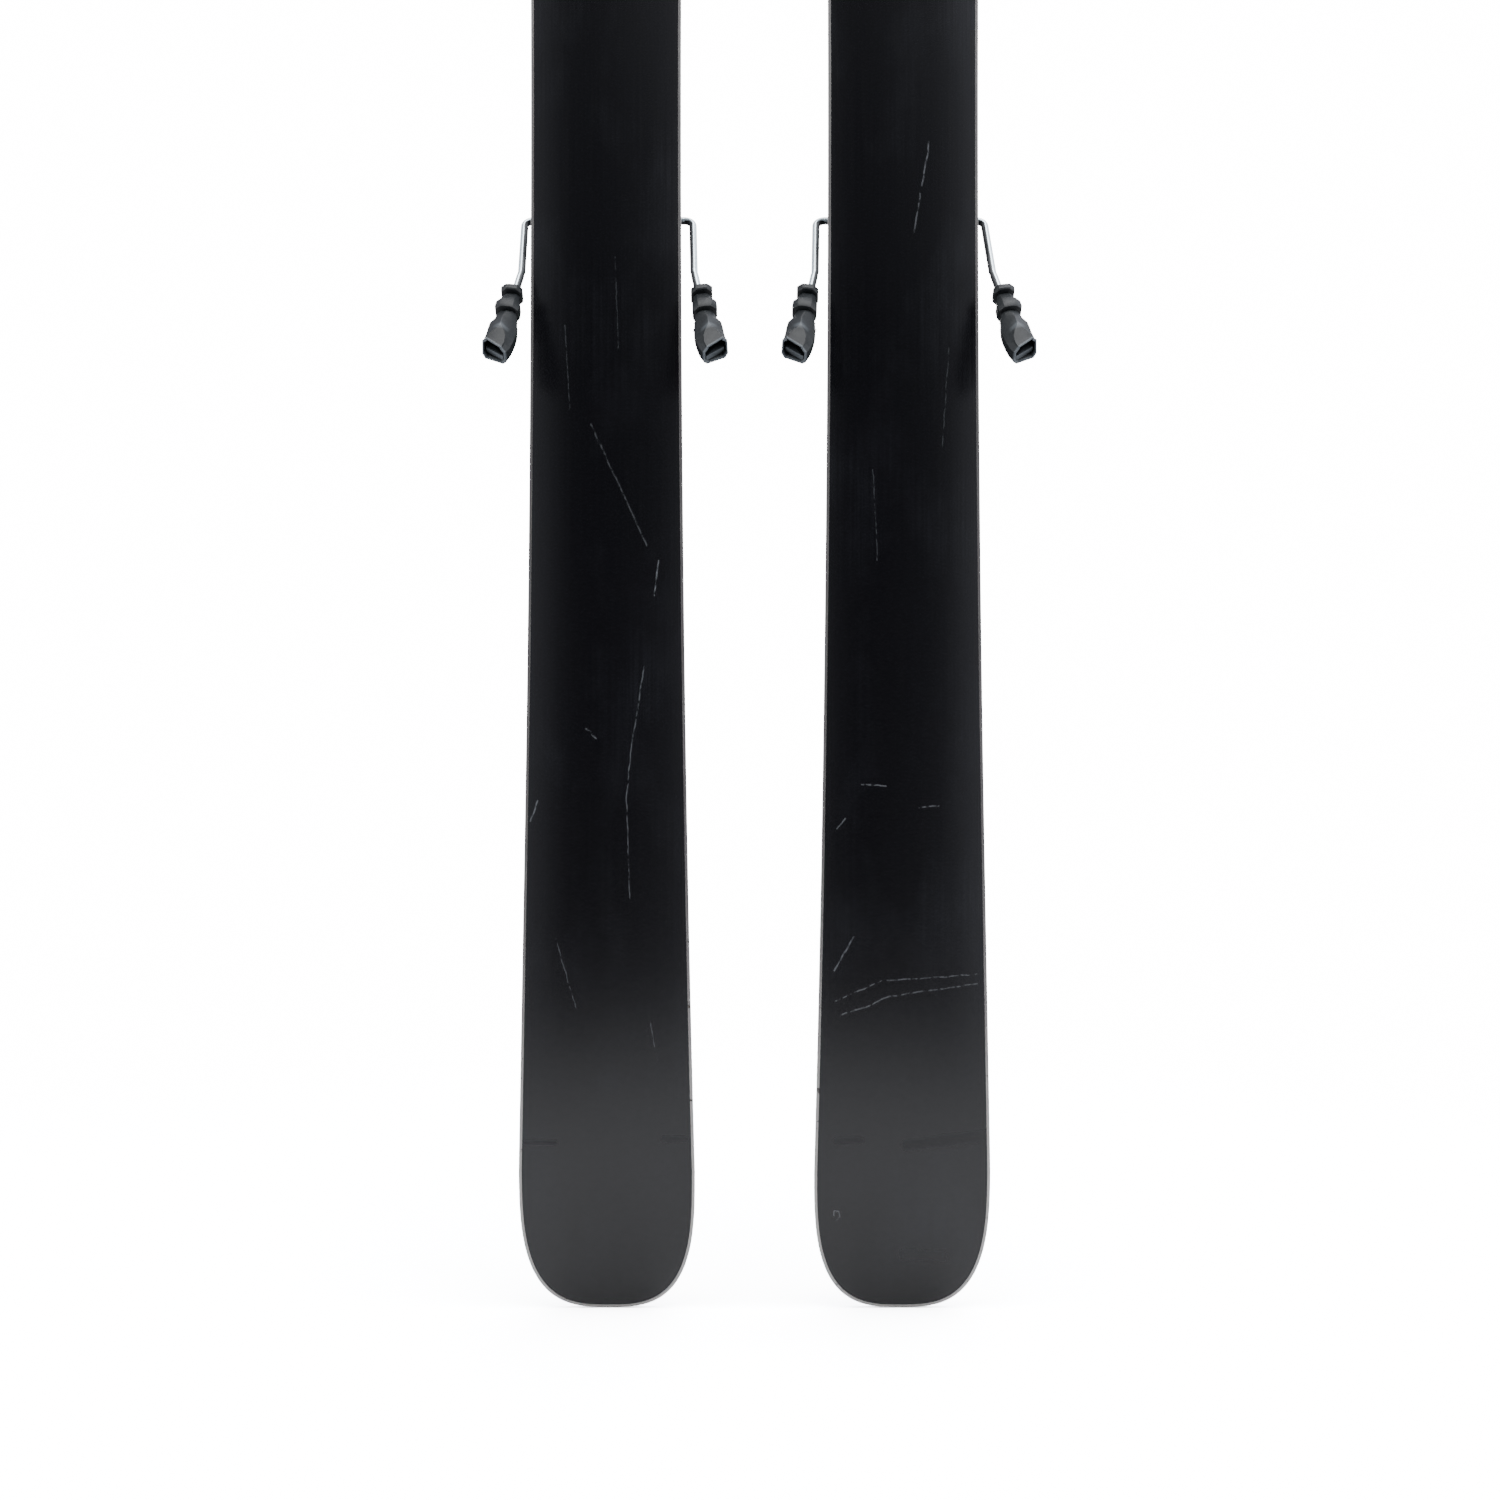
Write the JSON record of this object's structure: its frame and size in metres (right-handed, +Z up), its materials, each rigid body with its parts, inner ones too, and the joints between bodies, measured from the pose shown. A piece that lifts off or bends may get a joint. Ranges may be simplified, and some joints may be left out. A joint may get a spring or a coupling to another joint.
{
  "type": "pair of alpine skis with bindings",
  "caption": "Pair of shaped alpine skis with black running bases, steel edges, step-in toe and heel bindings and lowered brake arms.",
  "frame": {"origin": "on the floor between the two tails, in the plane of the running bases", "axes": "+Z up along the skis from tail to tip, +X to the right across the pair as seen from the base side, +Y from the bases towards the bindings"},
  "size_m": [0.3516, 0.1534, 1.78],
  "materials": {
    "base_plastic": "waxed black sintered running base",
    "edge_steel": "ground",
    "sidewall_plastic": "satin",
    "core_wood": "raw laminated",
    "laminate": "fibre laminate",
    "topsheet_film": "satin film",
    "housing_plastic": "moulded",
    "slide_plastic": "smooth",
    "wing_alloy": "satin",
    "steel": "zinc plated",
    "spring_steel": "oiled",
    "trim_plastic": "satin",
    "lever_plastic": "moulded",
    "brake_wire": "bright zinc",
    "foot_plastic": "moulded, slightly rubbery"
  },
  "bodies": {
    "left_ski": {"left_base_sheet": "base_plastic", "left_steel_edge": "edge_steel", "left_sidewall": "sidewall_plastic", "left_wood_core": "core_wood", "left_laminates": "laminate", "left_topsheet": "topsheet_film", "left_toe_baseplate": "housing_plastic", "left_toe_housing": "housing_plastic", "left_toe_pins": "steel", "left_toe_spring": "spring_steel", "left_heel_track": "housing_plastic", "left_mounting_screws": "steel", "left_forward_spring": "spring_steel"},
    "left_afd": {"left_afd_plate": "slide_plastic"},
    "left_wing_left": {"left_toe_wing_left": "wing_alloy"},
    "left_wing_right": {"left_toe_wing_right": "wing_alloy"},
    "left_toe_screw": {"left_toe_setting_screw": "trim_plastic"},
    "left_forward": {"left_forward_screw": "steel"},
    "left_carriage": {"left_heel_carriage": "housing_plastic", "left_cup_axle": "steel", "left_brake_bracket": "steel", "left_brake_springs": "spring_steel"},
    "left_cup": {"left_heel_cup": "wing_alloy", "left_lever_pin": "steel", "left_heel_spring": "spring_steel"},
    "left_heel_screw": {"left_heel_setting_screw": "trim_plastic"},
    "left_lever": {"left_heel_lever": "lever_plastic"},
    "left_brake": {"left_brake_wires": "brake_wire", "left_brake_pedal": "lever_plastic", "left_brake_feet": "foot_plastic"},
    "right_ski": {"right_base_sheet": "base_plastic", "right_steel_edge": "edge_steel", "right_sidewall": "sidewall_plastic", "right_wood_core": "core_wood", "right_laminates": "laminate", "right_topsheet": "topsheet_film", "right_toe_baseplate": "housing_plastic", "right_toe_housing": "housing_plastic", "right_toe_pins": "steel", "right_toe_spring": "spring_steel", "right_heel_track": "housing_plastic", "right_mounting_screws": "steel", "right_forward_spring": "spring_steel"},
    "right_afd": {"right_afd_plate": "slide_plastic"},
    "right_wing_left": {"right_toe_wing_left": "wing_alloy"},
    "right_wing_right": {"right_toe_wing_right": "wing_alloy"},
    "right_toe_screw": {"right_toe_setting_screw": "trim_plastic"},
    "right_forward": {"right_forward_screw": "steel"},
    "right_carriage": {"right_heel_carriage": "housing_plastic", "right_cup_axle": "steel", "right_brake_bracket": "steel", "right_brake_springs": "spring_steel"},
    "right_cup": {"right_heel_cup": "wing_alloy", "right_lever_pin": "steel", "right_heel_spring": "spring_steel"},
    "right_heel_screw": {"right_heel_setting_screw": "trim_plastic"},
    "right_lever": {"right_heel_lever": "lever_plastic"},
    "right_brake": {"right_brake_wires": "brake_wire", "right_brake_pedal": "lever_plastic", "right_brake_feet": "foot_plastic"}
  },
  "joints": [
    {"name": "left_afd_slide", "type": "slide", "parent": "left_ski", "child": "left_afd", "axis": [1, 0, 0], "range_m": [-0.0075, 0.0075], "stiffness_N_per_m": 400},
    {"name": "left_wing_right_swing", "type": "hinge", "parent": "left_ski", "child": "left_wing_right", "pos_m": [-0.076, 0.049, 1.024], "axis": [0, -1, 0], "range_deg": [0, 22], "stiffness_Nm_per_rad": 60, "springref_deg": -8.59},
    {"name": "left_wing_left_swing", "type": "hinge", "parent": "left_ski", "child": "left_wing_left", "pos_m": [-0.12, 0.049, 1.024], "axis": [0, 1, 0], "range_deg": [0, 22], "stiffness_Nm_per_rad": 60, "springref_deg": -8.59},
    {"name": "left_toe_screw_turn", "type": "hinge", "parent": "left_ski", "child": "left_toe_screw", "pos_m": [-0.098, 0.047, 1.0825], "axis": [0, 0, 1], "continuous": true},
    {"name": "left_forward_screw_turn", "type": "hinge", "parent": "left_ski", "child": "left_forward", "pos_m": [-0.098, 0.0262, 0.562], "axis": [0, 0, -1], "continuous": true},
    {"name": "left_heel_slide", "type": "slide", "parent": "left_ski", "child": "left_carriage", "axis": [0, 0, -1], "range_m": [0, 0.008], "stiffness_N_per_m": 6000, "springref_m": -0.004, "deforming": ["left_forward_spring"]},
    {"name": "left_cup_swing", "type": "hinge", "parent": "left_carriage", "child": "left_cup", "pos_m": [-0.098, 0.045, 0.642], "axis": [-1, 0, 0], "range_deg": [0, 30], "stiffness_Nm_per_rad": 40, "springref_deg": -17.19},
    {"name": "left_heel_screw_turn", "type": "hinge", "parent": "left_cup", "child": "left_heel_screw", "pos_m": [-0.098, 0.067, 0.6], "axis": [0, 0, -1], "continuous": true},
    {"name": "left_lever_swing", "type": "hinge", "parent": "left_cup", "child": "left_lever", "pos_m": [-0.098, 0.084, 0.626], "axis": [1, 0, 0], "range_deg": [0, 25], "stiffness_Nm_per_rad": 1.5, "springref_deg": -17.19},
    {"name": "left_brake_swing", "type": "hinge", "parent": "left_carriage", "child": "left_brake", "pos_m": [-0.098, 0.028, 0.7315], "axis": [1, 0, 0], "range_deg": [0, 40], "stiffness_Nm_per_rad": 1.5, "springref_deg": -57.3},
    {"name": "right_afd_slide", "type": "slide", "parent": "right_ski", "child": "right_afd", "axis": [1, 0, 0], "range_m": [-0.0075, 0.0075], "stiffness_N_per_m": 400},
    {"name": "right_wing_right_swing", "type": "hinge", "parent": "right_ski", "child": "right_wing_right", "pos_m": [0.12, 0.049, 1.024], "axis": [0, -1, 0], "range_deg": [0, 22], "stiffness_Nm_per_rad": 60, "springref_deg": -8.59},
    {"name": "right_wing_left_swing", "type": "hinge", "parent": "right_ski", "child": "right_wing_left", "pos_m": [0.076, 0.049, 1.024], "axis": [0, 1, 0], "range_deg": [0, 22], "stiffness_Nm_per_rad": 60, "springref_deg": -8.59},
    {"name": "right_toe_screw_turn", "type": "hinge", "parent": "right_ski", "child": "right_toe_screw", "pos_m": [0.098, 0.047, 1.0825], "axis": [0, 0, 1], "continuous": true},
    {"name": "right_forward_screw_turn", "type": "hinge", "parent": "right_ski", "child": "right_forward", "pos_m": [0.098, 0.0262, 0.562], "axis": [0, 0, -1], "continuous": true},
    {"name": "right_heel_slide", "type": "slide", "parent": "right_ski", "child": "right_carriage", "axis": [0, 0, -1], "range_m": [0, 0.008], "stiffness_N_per_m": 6000, "springref_m": -0.004, "deforming": ["right_forward_spring"]},
    {"name": "right_cup_swing", "type": "hinge", "parent": "right_carriage", "child": "right_cup", "pos_m": [0.098, 0.045, 0.642], "axis": [-1, 0, 0], "range_deg": [0, 30], "stiffness_Nm_per_rad": 40, "springref_deg": -17.19},
    {"name": "right_heel_screw_turn", "type": "hinge", "parent": "right_cup", "child": "right_heel_screw", "pos_m": [0.098, 0.067, 0.6], "axis": [0, 0, -1], "continuous": true},
    {"name": "right_lever_swing", "type": "hinge", "parent": "right_cup", "child": "right_lever", "pos_m": [0.098, 0.084, 0.626], "axis": [1, 0, 0], "range_deg": [0, 25], "stiffness_Nm_per_rad": 1.5, "springref_deg": -17.19},
    {"name": "right_brake_swing", "type": "hinge", "parent": "right_carriage", "child": "right_brake", "pos_m": [0.098, 0.028, 0.7315], "axis": [1, 0, 0], "range_deg": [0, 40], "stiffness_Nm_per_rad": 1.5, "springref_deg": -57.3},
    {"name": "right_ski_apart", "type": "slide", "parent": "left_ski", "child": "right_ski", "axis": [1, 0, 0], "range_m": [0, 0.3]}
  ]
}
